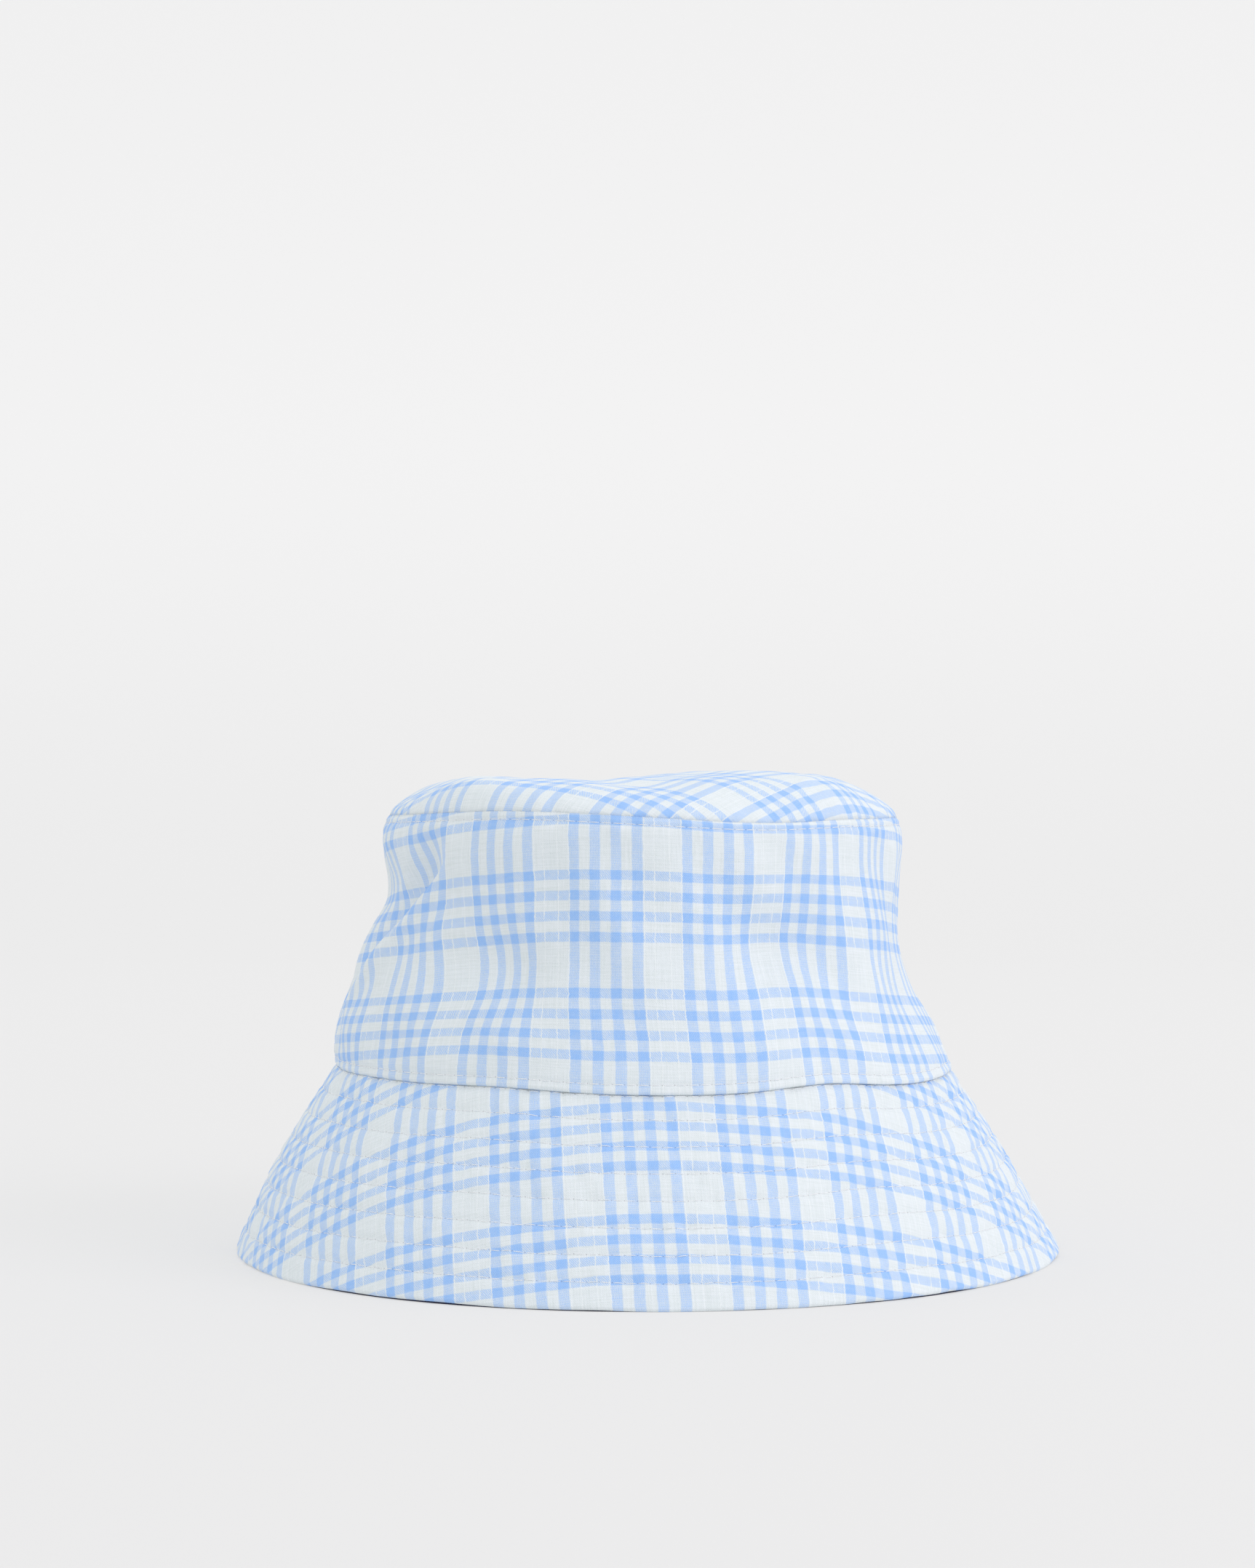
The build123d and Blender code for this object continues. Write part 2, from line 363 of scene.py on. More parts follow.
# ---- cloth grain: where each point lies on the flat plaid, in mm along its weft and warp ----
# A crown side's flat panel is part of a ring of radius CROWN_SECTOR at CROWN_MIDDLE over the seam,
# and a brim's is part of a ring that spans BRIM_CONE radians for each unit of the oval's arc.
CROWN_MEAN = 77.0
CROWN_SECTOR = 960.0
CROWN_MIDDLE = 38
BRIM_CONE = 0.46
TIP_FLAT = 80.0

# How far each panel's grain line is turned from its middle, and where its plaid repeat starts.
CROWN_TURN = math.radians(6)
BRIM_TURN = math.radians(8)
TIP_BIAS = math.radians(53)
CROWN_START = (0.8, -7.35)
BRIM_START = (26.7, 22.2)
TIP_START = (24.7, 72.9)

# Where the slumped cloth drags its stripes to the right, by rows as in FOLDS.
LEANS = [
    (0.8, -38, 14, 86, 10), (2.3, -35, 11, 75, 7), (-0.9, -34, 9, 102, 12), (-2.7, -52, 9, 96, 13),
    (1.5, 26, 9, 80, 14), (2.2, 46, 12, 80, 22), (-1.2, 37, 9, 72, 8), (-1.5, -47, 9, 88, 10),
]


def crown_grain(a, w, centre):
    """The grain of a crown side panel whose middle is at angle centre."""
    front = centre == 0
    phi = (arc_of(a) - arc_of(centre + CROWN_TURN * front)) * CROWN_MEAN / CROWN_SECTOR
    reach = CROWN_SECTOR + CROWN_MIDDLE - w
    u = reach * np.sin(phi)
    v = CROWN_SECTOR - reach * np.cos(phi) + CROWN_MIDDLE
    d = wrapped(a)
    z = w + SEAM_Z
    # The slumped cloth drags its stripes: lean is how far they move to the right, droop how far down.
    lean = patches(LEANS, d, z) + 1.6 * round_bell(d, -14, 36) * (1 - smooth(58, 80, z))
    lean = lean + 2.4 * round_bell(d, 64, 14) * (1 - 2 * smooth(90, 118, z))
    droop = smooth(-12, -36, d) * (1 + smooth(-40, -60, d)) * smooth(62, 80, z)
    droop = droop + 1.2 * smooth(2, 42, d) + 0.5 * round_bell(d, 14, 10) + 0.4 * bell(z, 74, 14)
    droop = droop - 1.2 * round_bell(d, -38, 16) * bell(z, 59, 8)
    droop = droop - 0.9 * smooth(0, 50, d) * smooth(85, 112, z)
    return np.stack([u - lean + CROWN_START[0], v * 1.003 + CROWN_START[1] + droop * front], axis=-1)


def brim_grain(a, w, centre):
    """The grain of a brim panel whose middle is at angle centre."""
    front = centre == 0
    phi = BRIM_CONE * (arc_of(a) - arc_of(centre + BRIM_TURN * front))
    reach = HEAD_HALF / BRIM_CONE + w
    u = reach * np.sin(phi)
    v = reach * np.cos(phi) - HEAD_HALF / BRIM_CONE
    d = wrapped(a)
    droop = (1.1 * round_bell(d, -38, 14) - 3.9 * smooth(-8, 38, d)) * front
    return np.stack([u * 0.985 + BRIM_START[0], BRIM_START[1] - v - droop], axis=-1)


def tip_grain(a, r, face):
    """The tip is cut on the bias. Its flat piece is a little larger than its seam, which domes it."""
    steps = np.linalg.norm(np.diff(face, axis=1), axis=-1)
    reach = np.concatenate([np.zeros_like(r[:, :1]), np.cumsum(steps, axis=1)], axis=1)
    oval = np.hypot(np.sin(a), DEPTH_RATIO * np.cos(a))
    reach = reach + (TIP_FLAT * oval - reach[:, -1:]) * r**2
    x = reach * np.sin(a) / oval
    y = -reach * DEPTH_RATIO * np.cos(a) / oval
    u = x * math.sin(TIP_BIAS) - y * math.cos(TIP_BIAS)
    v = x * math.cos(TIP_BIAS) + y * math.sin(TIP_BIAS)
    # The puffed front left draws the cloth outwards there.
    d = wrapped(a)
    u = u + 3.0 * round_bell(d, -42, 16) * smooth(0.6, 1.0, r)
    v = v + 5.0 * round_bell(d, -34, 26) * smooth(0.5, 1.0, r)
    return np.stack([u + TIP_START[0], v * 1.03 + TIP_START[1]], axis=-1)


# ---- mesh building ----
def pairs(across, down):
    """Two grids that together hold every pair of the values across and down."""
    return np.meshgrid(across, down, indexing="ij")


def unit(v):
    """Vectors v at length 1."""
    return v / np.maximum(np.linalg.norm(v, axis=-1, keepdims=True), 1e-12)


def grid_normals(points, outward):
    """Unit normals of a grid of points, on the side that outward points to."""
    n = unit(np.cross(np.gradient(points, axis=0), np.gradient(points, axis=1)))
    flip = np.sign((n * outward).sum(-1, keepdims=True))
    return n * np.where(flip == 0, 1, flip)


def make_mesh(name, verts, faces, materials, material_ids=None, uv=None, values=None):
    """A mesh object in metres from points in mm, with per-point UVs in mm and other named values."""
    mesh = bpy.data.meshes.new(name)
    mesh.from_pydata((verts * MM).tolist(), [], faces)
    for material in materials:
        mesh.materials.append(material)
    mesh.polygons.foreach_set("use_smooth", [True] * len(mesh.polygons))
    if material_ids is not None:
        mesh.polygons.foreach_set("material_index", material_ids)
    if uv is not None:
        corner = np.empty(len(mesh.loops), dtype=np.int32)
        mesh.loops.foreach_get("vertex_index", corner)
        layer = mesh.uv_layers.new(name="grain")
        layer.data.foreach_set("uv", uv[corner].astype(np.float32).ravel())
    for key, value in (values or {}).items():
        attribute = mesh.attributes.new(key, "FLOAT", "POINT")
        attribute.data.foreach_set("value", value.astype(np.float32).ravel())
    mesh.update()
    obj = bpy.data.objects.new(name, mesh)
    bpy.context.scene.collection.objects.link(obj)
    return obj


def quads(columns, rows, start, flip, closed):
    """Faces of a grid stored column by column."""
    i, j = pairs(np.arange(columns if closed else columns - 1), np.arange(rows - 1))
    k = (i + 1) % columns
    corners = [i * rows + j, k * rows + j, k * rows + j + 1, i * rows + j + 1]
    if flip:
        corners.reverse()
    return (np.stack(corners, axis=-1).reshape(-1, 4) + start).tolist()


def overlapped(grid):
    """A grid that closes on itself, with its last two columns repeated before it and its first two after."""
    return np.concatenate([grid[-2:], grid, grid[:2]], axis=0)


def twice(grid, width):
    """A grid's rows of width values, once for a sheet's face and once for its back."""
    flat = grid.reshape(-1, width)
    return np.concatenate([flat, flat])


def slab(name, face, back, turned, uv, material, values=None, closed=False):
    """A closed piece between two grids of points. turned says which way round its face is wound."""
    columns, rows = face.shape[:2]
    verts = np.concatenate([face.reshape(-1, 3), back.reshape(-1, 3)])
    verts[:, 2] = np.maximum(verts[:, 2], ABOVE_TABLE)
    count = columns * rows
    faces = quads(columns, rows, 0, turned, closed) + quads(columns, rows, count, not turned, closed)
    grid = np.arange(count).reshape(columns, rows)
    around = overlapped(grid)[2:-1] if closed else grid
    rims = [(around[:, 0], turned), (around[:, -1], not turned)]
    if not closed:
        rims += [(grid[0], not turned), (grid[-1], turned)]
    for rim, up in rims:
        for near, far in zip(rim[:-1].tolist(), rim[1:].tolist()):
            edge = [near, far, count + far, count + near]
            faces.append(edge if up else edge[::-1])
    both = {key: twice(value, 1) for key, value in (values or {}).items()}
    return make_mesh(name, verts, faces, [material], uv=twice(uv, 2), values=both)


def thick_sheet(name, face, thickness, outward, uv, material, values=None, closed=False):
    """A closed piece of cloth from the grid of its face, with its back thickness mm behind it."""
    if closed:
        normals = grid_normals(overlapped(face), overlapped(outward))[2:-2]
    else:
        normals = grid_normals(face, outward)
    a, b, c = face[0, 0], face[1, 0], face[0, 1]
    turned = np.dot(np.cross(b - a, c - a), outward[0, 0]) < 0
    return slab(name, face, face - normals * thickness, turned, uv, material, values, closed)


def disc_sheet(name, face, thickness, uv, material, down=False, values=None):
    """A closed piece of cloth from a polar grid whose first row is the middle point."""
    columns, rows = face.shape[:2]
    middle, rest = face[:1, 0], face[:, 1:]
    ringed = overlapped(rest)
    n = unit(np.cross(np.gradient(ringed, axis=0), np.gradient(ringed, axis=1)))[2:-2]
    facing = -1 if down else 1
    back = rest - n * np.sign(n[..., 2].mean()) * facing * thickness
    back_middle = middle - np.array([[0, 0, thickness * facing]])
    verts = np.concatenate([middle, rest.reshape(-1, 3), back_middle, back.reshape(-1, 3)])
    ring, half = rows - 1, 1 + columns * (rows - 1)
    turned = np.cross(rest[1, 0] - middle[0], rest[0, 0] - middle[0])[2] * facing > 0
    faces = quads(columns, ring, 1, turned, True) + quads(columns, ring, half + 1, not turned, True)
    for i in range(columns):
        k = (i + 1) % columns
        rim_i, rim_k = (i + 1) * ring, (k + 1) * ring
        fan = [0, 1 + k * ring, 1 + i * ring]
        under = [half, half + 1 + i * ring, half + 1 + k * ring]
        edge = [rim_i, rim_k, half + rim_k, half + rim_i]
        for corners in (fan, under, edge):
            faces.append(corners[::-1] if turned else corners)
    flat = np.concatenate([uv[:1, 0], uv[:, 1:].reshape(-1, 2)])
    both = {}
    for key, value in (values or {}).items():
        both[key] = twice(np.concatenate([value[:1, 0], value[:, 1:].ravel()]), 1)
    return make_mesh(name, verts, faces, [material], uv=twice(flat, 2), values=both)


def stitch_mesh(path, count, sides=6, stations=6):
    """Points and faces of a row of separate stitches: path gives (points, normals) at shares of the row."""
    s = np.linspace(0, 1, stations)
    share = (np.arange(count)[:, None] + 0.5 + STITCH_SHOWS * (s - 0.5)) / count
    points, normals = path(share)
    ahead, _ = path(share + 1e-4)
    along = unit(ahead - points)
    across = unit(np.cross(normals, along))
    arch = np.sin(math.pi * s) ** 0.5
    points = points + normals * ((THREAD_RADIUS + 0.05) * arch - THREAD_SINK)[None, :, None]
    thick = THREAD_RADIUS * (0.45 + 0.55 * arch)
    turn = np.linspace(0, 2 * math.pi, sides, endpoint=False)
    ring = np.cos(turn)[:, None] * across[:, :, None] + np.sin(turn)[:, None] * normals[:, :, None]
    verts = points[:, :, None] + ring * thick[None, :, None, None]
    base = (np.arange(count) * stations * sides)[:, None, None]
    i, j = pairs(np.arange(stations - 1), np.arange(sides))
    k = (j + 1) % sides
    walls = np.stack([i * sides + j, i * sides + k, (i + 1) * sides + k, (i + 1) * sides + j], axis=-1)
    faces = (base + walls.reshape(1, -1, 4)).reshape(-1, 4).tolist()
    first = np.arange(sides)[::-1]
    last = (stations - 1) * sides + np.arange(sides)
    faces += (base[:, :, 0] + first).tolist() + (base[:, :, 0] + last).tolist()
    return verts.reshape(-1, 3), faces


def stitch_piece(name, slot, *runs):
    """One piece from rows of stitches, each given as (points and faces, material)."""
    verts, faces, ids, materials, start = [], [], [], [], 0
    for (points, walls), material in runs:
        if material not in materials:
            materials.append(material)
        verts.append(points)
        faces += [[i + start for i in wall] for wall in walls]
        ids += [materials.index(material)] * len(walls)
        start += len(points)
    obj = make_mesh(name, np.concatenate(verts), faces, materials, material_ids=ids)
    settle(obj, ROOT, name)


# ---- materials ----
def linear(r, g, b):
    """An 8-bit sRGB colour as a linear one."""
    def one(c):
        c = c / 255
        return c / 12.92 if c <= 0.04045 else ((c + 0.055) / 1.055) ** 2.4
    return (one(r), one(g), one(b), 1.0)


class Graph:
    """One node material, and short ways to add nodes to it."""

    def __init__(self, name, roughness, sheen=0.0, specular=0.3):
        self.material = bpy.data.materials.new(name)
        self.material.use_nodes = True
        self.tree = self.material.node_tree
        self.shader = self.tree.nodes["Principled BSDF"]
        self.shader.inputs["Roughness"].default_value = roughness
        self.shader.inputs["Specular IOR Level"].default_value = specular
        self.shader.inputs["Sheen Weight"].default_value = sheen
        self.shader.inputs["Sheen Roughness"].default_value = 0.5

    def put(self, socket, value):
        """Link value to the socket if it is another node's output, or else set it."""
        if isinstance(value, bpy.types.NodeSocket):
            self.tree.links.new(value, socket)
        else:
            socket.default_value = value

    def node(self, kind, **settings):
        node = self.tree.nodes.new(kind)
        for key, value in settings.items():
            setattr(node, key, value)
        return node

    def math(self, operation, *values):
        node = self.node("ShaderNodeMath", operation=operation)
        for socket, value in zip(node.inputs, values):
            self.put(socket, value)
        return node.outputs[0]

    def ramp(self, value, low, high, out_low=0.0, out_high=1.0):
        """out_low below low and out_high over high, with a smooth step between."""
        node = self.node("ShaderNodeMapRange", interpolation_type="SMOOTHSTEP")
        ends = {"From Min": low, "From Max": high, "To Min": out_low, "To Max": out_high}
        self.put(node.inputs["Value"], value)
        for key, end in ends.items():
            self.put(node.inputs[key], end)
        return node.outputs["Result"]

    def mix(self, share, a, b):
        node = self.node("ShaderNodeMix", data_type="RGBA")
        self.put(node.inputs["Factor"], share)
        self.put(node.inputs[6], a)
        self.put(node.inputs[7], b)
        return node.outputs[2]

    def grain(self):
        """The flat cloth's two coordinates, in mm."""
        return self.split(self.node("ShaderNodeUVMap", uv_map="grain").outputs[0])[:2]

    def split(self, vector):
        node = self.node("ShaderNodeSeparateXYZ")
        self.tree.links.new(vector, node.inputs[0])
        return list(node.outputs)

    def plus(self, a, b):
        return self.math("ADD", a, b)

    def minus(self, a, b):
        return self.math("SUBTRACT", a, b)

    def times(self, a, b):
        return self.math("MULTIPLY", a, b)

    def weighted(self, *terms):
        """The sum of (value, weight) terms."""
        total = None
        for value, weight in terms:
            part = self.times(value, weight)
            total = part if total is None else self.plus(total, part)
        return total

    def wave(self, x, period):
        """A sine along x that repeats every period."""
        return self.math("SINE", self.times(x, 2 * math.pi / period))

    def uneven(self, u, v, fine_u, fine_v, layer, detail, amount=1.0):
        """Noise about 0, amount from end to end, with fine_u and fine_v grains a mm along the cloth."""
        place = self.vector(self.times(u, fine_u), self.times(v, fine_v), layer)
        return self.times(self.minus(self.noise(place, 1.0, detail), 0.5), amount)

    def vector(self, x, y, z=0.0):
        node = self.node("ShaderNodeCombineXYZ")
        for socket, value in zip(node.inputs, (x, y, z)):
            self.put(socket, value)
        return node.outputs[0]

    def noise(self, vector, scale, detail=2.0, roughness=0.5):
        node = self.node("ShaderNodeTexNoise")
        self.put(node.inputs["Vector"], vector)
        node.inputs["Scale"].default_value = scale
        node.inputs["Detail"].default_value = detail
        node.inputs["Roughness"].default_value = roughness
        return node.outputs["Fac"]

    def attribute(self, name):
        return self.node("ShaderNodeAttribute", attribute_name=name).outputs["Fac"]

    def bump(self, height, distance, strength=1.0):
        node = self.node("ShaderNodeBump")
        self.put(node.inputs["Height"], height)
        node.inputs["Distance"].default_value = distance
        node.inputs["Strength"].default_value = strength
        self.tree.links.new(node.outputs[0], self.shader.inputs["Normal"])

    def colour(self, value):
        self.put(self.shader.inputs["Base Color"], value)


BLUE = linear(149, 192, 248)
WHITES = (linear(213, 223, 225), linear(236, 242, 247))
SLUB_WHITE = linear(246, 250, 252)

# The plaid, in mm: four stripes in each repeat, and where its slub yarns lie in the wide gap.
WARP = dict(repeat=29.8, pitch=5.6, width=2.75)
WEFT = dict(repeat=31.1, pitch=5.5, width=2.6)
SLUBS = (1.3, 21.3, 24.0, 28.0)
# The weave's fine diagonals: their pitch across the cloth, and how far they lean for each mm up it.
HATCH = 0.54
HATCH_RISE = 0.8


def stripes(g, x, repeat, pitch, width):
    """1 on each of the four stripes of a repeat and 0 elsewhere, and the place within the repeat."""
    place = g.math("FLOORED_MODULO", x, repeat)
    within = g.minus(g.math("FLOORED_MODULO", place, pitch), pitch / 2)
    stripe = g.ramp(g.math("ABSOLUTE", within), width / 2 - 0.2, width / 2 + 0.2, 1.0, 0.0)
    return g.times(stripe, g.math("LESS_THAN", place, 4 * pitch)), place


def slub_yarns(g, u, v, place):
    """Thick, wandering white warp yarns in the wide gaps between the groups of stripes."""
    group = g.math("FLOOR", g.math("DIVIDE", u, WARP["repeat"]))
    total = None
    for k, at in enumerate(SLUBS):
        seed = g.plus(g.times(group, 7.3), 11.0 * k)
        wander = g.noise(g.vector(seed, g.times(v, 1.3)), 1.0, 3.0, 0.7)
        gap = g.math("ABSOLUTE", g.plus(g.minus(place, at), g.minus(wander, 0.5)))
        fat = g.noise(g.vector(seed, g.times(v, 0.8), 5.0), 1.0, 1.0)
        yarn = g.ramp(g.math("DIVIDE", gap, g.times(fat, 0.32)), 0.55, 1.15, 1.0, 0.0)
        total = yarn if total is None else g.math("MAXIMUM", total, yarn)
    return total


def needle_pits_and_shade(g):
    """Where the stitches prick the cloth, 1 at each prick. It drives their small dents and the painted shade
    in them.
    """
    off = g.attribute("stitch_off")
    count = g.attribute("stitch_count")
    ahead = g.times(g.minus(g.math("FRACT", g.plus(count, 0.5)), 0.5), STITCH)
    reach = g.math("SQRT", g.plus(g.math("POWER", ahead, 2.0), g.math("POWER", off, 2.0)))
    return g.ramp(reach, 0.06, 0.21, 1.0, 0.0)


def plaid(name):
    """Cotton plaid: blue stripes on white both ways, with thick white yarns in the wide gaps."""
    g = Graph(name, roughness=0.88, sheen=0.12, specular=0.22)
    u0, v0 = g.grain()
    # The stripes wander a little, as the cloth was never quite straight.
    u = g.plus(u0, g.uneven(u0, v0, 0.12, 0.22, 0.0, 3.0, 0.55))
    v = g.plus(v0, g.uneven(u0, v0, 0.22, 0.12, 9.0, 3.0, 0.45))
    warp, place = stripes(g, u, **WARP)
    weft, _ = stripes(g, v, **WEFT)

    # A twill of fine diagonals on the weft stripes, dots on the warp ones, full blue where they cross.
    jitter = g.minus(g.noise(g.vector(u0, v0, 7.0), 1.1, 3.0, 0.6), 0.5)
    across = g.weighted((u0, 1.0), (jitter, 0.7))
    up = g.times(v0, HATCH_RISE)
    falling = g.wave(g.plus(across, up), HATCH)
    rising = g.wave(g.minus(across, up), HATCH)
    checker = g.times(falling, rising)
    patchy = g.uneven(u0, v0, 0.7, 0.7, 5.6, 3.0)
    twill = g.weighted((g.ramp(falling, -0.8, 0.8, 0.18, 0.76), 1.0), (patchy, 0.4))
    dots = g.weighted((g.ramp(checker, -0.35, 0.35, 0.18, 0.78), 1.0), (patchy, 0.3))
    full = g.weighted((g.ramp(rising, -1.0, 1.0, 0.82, 1.0), 1.0), (patchy, 0.25))
    only_warp = g.times(warp, g.minus(1.0, weft))
    only_weft = g.times(weft, g.minus(1.0, warp))
    blue = g.weighted((g.times(warp, weft), full), (only_warp, dots), (only_weft, twill))
    slub = slub_yarns(g, u, v, place)
    blue = g.times(blue, g.minus(1.0, g.times(slub, 0.88)))

    # Uneven yarns: fine streaks along both directions of the cloth.
    down = g.uneven(u0, v0, 2.6, 0.10, 0.0, 2.0)
    along = g.uneven(u0, v0, 0.10, 2.6, 4.0, 2.0)
    streak = g.plus(down, along)
    blue = g.weighted((blue, 1.0), (streak, g.ramp(blue, 0.0, 0.5, 0.06, 0.22)))
    blue = g.math("MAXIMUM", g.math("MINIMUM", blue, 1.0), 0.0)
    white = g.mix(g.plus(0.5, g.times(streak, 0.9)), *WHITES)
    white = g.mix(g.times(slub, 0.28), white, SLUB_WHITE)

    pit_and_shade = needle_pits_and_shade(g)
    crumple = g.noise(g.vector(u0, v0, 3.0), 0.35, 4.0, 0.6)
    relief = g.weighted((falling, 0.12), (streak, 0.9), (slub, 0.1), (pit_and_shade, -0.8), (crumple, 1.6))
    g.bump(relief, 0.00012, 0.8)
    # Painted shade: the needle pricks are painted a dark pinkish grey, as shade in the pinholes.
    g.colour(g.mix(g.times(pit_and_shade, 0.42), g.mix(blue, white, BLUE), linear(146, 124, 134)))
    return g.material


def plain_weave(name, dark, light, yarn, roughness, sheen, relief, painted_hole_shade=False):
    """An even plain weave with slightly uneven yarns. yarn is its pitch in mm. It can paint shade into the
    needle pricks.
    """
    g = Graph(name, roughness, sheen)
    u, v = g.grain()
    weave = g.times(g.wave(u, 2 * yarn), g.wave(v, 2 * yarn))
    down = g.uneven(u, v, 1.6, 0.08, 0.0, 3.0)
    along = g.uneven(u, v, 0.08, 1.6, 6.0, 3.0)
    patch = g.uneven(u, v, 0.05, 0.05, 0.1, 3.0)
    tone = g.weighted((down, 0.35), (along, 0.35), (patch, 0.3), (weave, 0.10))
    cloth = g.mix(g.ramp(tone, -0.25, 0.28), dark, light)
    height = g.weighted((weave, 1.0), (tone, 1.2))
    if painted_hole_shade:
        # Painted shade: the needle pricks are painted near black, as shade in the pinholes.
        cloth = g.mix(g.times(needle_pits_and_shade(g), 0.5), cloth, linear(8, 9, 18))
    g.bump(height, relief, 0.7)
    g.colour(cloth)
    return g.material


def grosgrain(name):
    """Ribbed ribbon: ribs run up the band, with a flat selvedge along both edges."""
    g = Graph(name, 0.62, 0.2)
    u, v = g.grain()
    inside = g.times(g.ramp(v, 0.8, 1.3), g.ramp(v, 30.2, 30.8, 1.0, 0.0))
    ribs = g.weighted((g.wave(u, 0.95), 1.0), (g.wave(v, 0.4), 0.25))
    height = g.times(ribs, inside)
    tone = g.weighted((height, 0.18), (g.uneven(u, v, 0.4, 0.06, 0.0, 3.0), 1.0))
    g.colour(g.mix(g.ramp(tone, -0.25, 0.3), linear(20, 23, 44), linear(44, 50, 84)))
    g.bump(height, 0.00012, 0.9)
    return g.material


def thread(name, dark, light):
    """Two-ply sewing thread: its twist shows as slanting bands."""
    g = Graph(name, 0.55, 0.25, 0.4)
    place = g.node("ShaderNodeTexCoord").outputs["Object"]
    x, y, z = g.split(place)
    twist = g.wave(g.plus(g.plus(x, y), z), 0.42 * MM)
    tone = g.weighted((twist, 0.2), (g.noise(place, 900.0, 2.0), 1.0))
    g.colour(g.mix(g.ramp(tone, 0.2, 0.8), dark, light))
    g.bump(twist, 0.00004, 0.6)
    return g.material


def satin(name):
    """Blank woven label: bright satin with fine ribs."""
    g = Graph(name, 0.38, 0.1, 0.5)
    u, v = g.grain()
    rib = g.wave(v, 0.35)
    tone = g.weighted((g.uneven(u, v, 0.3, 2.0, 0.0, 3.0), 1.0), (rib, 0.08))
    g.colour(g.mix(g.ramp(tone, -0.3, 0.3), linear(226, 226, 220), linear(246, 246, 242)))
    g.bump(g.weighted((rib, 1.0), (g.wave(u, 0.8), 0.4)), 0.00004, 0.6)
    return g.material


PLAID = plaid("plaid_cotton")
NAVY_CLOTH = plain_weave(
    "navy_cotton", linear(20, 23, 48), linear(38, 43, 78), 0.42, 0.85, 0.15, 0.00008, painted_hole_shade=True)
LINING_CLOTH = plain_weave("navy_lining", linear(26, 30, 56), linear(46, 52, 88), 0.34, 0.7, 0.1, 0.00005)
CANVAS = plain_weave(
    "interlining_canvas", linear(214, 211, 200), linear(240, 238, 230), 0.6, 0.9, 0.05, 0.0001)
BAND = grosgrain("navy_grosgrain")
THREAD = thread("white_thread", linear(226, 232, 238), linear(250, 251, 252))
NAVY_THREAD = thread("navy_thread", linear(26, 30, 58), linear(52, 58, 96))
LABEL = satin("label_satin")


# ---- pieces ----
def settle(obj, body, node):
    """Put a finished piece on its body, and hide the CAD node it stands for."""
    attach(obj, body)
    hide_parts(node)


def ring_cut(inner, outer, angle):
    """The flat width, length and area, in mm, of a panel cut as part of a ring."""
    width = 2 * outer * math.sin(angle / 2)
    return width, outer - inner * math.cos(angle / 2), angle / 2 * (outer**2 - inner**2)


def cloth_piece(obj, name, slot, cut, held, *under, body=ROOT):
    """Settle a piece of cloth on its body. The flat size it was cut to, how it is held and what it lies on
    are not used.
    """
    settle(obj, body, name)


def angles_round(span, size, step):
    """Angles evenly spaced along the oval's arc, about step mm apart at half width size."""
    start, end = arc_of(span[0]), arc_of(span[1])
    count = int(round((end - start) * size / step)) + 1
    return angle_at(np.linspace(start, end, count))


def seam_dip(a, span, size, deep=1.1, wide=2.4):
    """How far a panel turns in along its two side seams, in mm."""
    gap = np.minimum(np.abs(arc_of(a) - arc_of(span[0])), np.abs(arc_of(span[1]) - arc_of(a))) * size
    return deep * np.clip(1 - gap / wide, 0, 1) ** 2


def ring_count(size):
    """How many stitches go round the hat at half width size."""
    return int(round(ROUND * size / STITCH))


def outward_at(a):
    """A direction out of the hat at each angle, and a little upwards."""
    return ray(a, 1.0, 0.25)


def stitch_values(off, count):
    """What the needle pricks' dents and painted shade are drawn from: how far the nearest row is, and the
    stitch number along it.
    """
    return {"stitch_off": off, "stitch_count": count}


CROWN_RING = CROWN_SECTOR + CROWN_MIDDLE
CROWN_CUT = ring_cut(CROWN_RING - CROWN_HEIGHT, CROWN_RING, ROUND / 2 * CROWN_MEAN / CROWN_SECTOR)
BRIM_CUT = ring_cut(HEAD_HALF / BRIM_CONE, HEAD_HALF / BRIM_CONE + BRIM_SLANT, ROUND / 2 * BRIM_CONE)
TIP_CUT = (2 * TIP_FLAT, 2 * TIP_FLAT * DEPTH_RATIO, math.pi * TIP_FLAT**2 * DEPTH_RATIO)


def crown_side(name, span, centre):
    a = angles_round(span, CROWN_MEAN, 0.95)
    low, high = 4.6, CROWN_HEIGHT - 4.2
    near_base = np.linspace(-0.2, low, 13)
    near_tip = np.linspace(high, CROWN_HEIGHT + 0.3, 12)
    stitched = [BASE_STITCH, TIP_STITCH]
    w = np.unique(np.concatenate([near_base, np.linspace(low, high, 76), near_tip, stitched]))
    aa, ww = pairs(a, w)
    face = crown_point(aa, ww, seam_dip(aa, span, CROWN_MEAN))
    off = np.minimum(np.abs(ww - BASE_STITCH), np.abs(ww - TIP_STITCH))
    total = np.where(ww < CROWN_HEIGHT / 2, ring_count(BASE_HALF), ring_count(TOP_HALF))
    values = stitch_values(off, total * arc_of(aa) / ROUND)
    obj = thick_sheet(name, face, CLOTH, outward_at(aa), crown_grain(aa, ww, centre), PLAID, values)
    cloth_piece(obj, name, "plaid_cotton", CROWN_CUT, "stretched", name.replace("crown_side", "brim_upper"))


def crown_tip():
    a = angle_at(np.linspace(0, ROUND, 361)[:-1])
    r = np.concatenate([[0], np.linspace(0.03, 0.80, 44), np.linspace(0.81, 1.0, 26)])
    aa, rr = pairs(a, r)
    face = tip_point(aa, rr)
    far = np.full_like(aa, NO_STITCH)
    obj = disc_sheet("crown_tip", face, CLOTH, tip_grain(aa, rr, face), PLAID, values=stitch_values(far, far))
    cloth_piece(obj, "crown_tip", "plaid_cotton", TIP_CUT, "stretched", "crown_side_front", "crown_side_back")


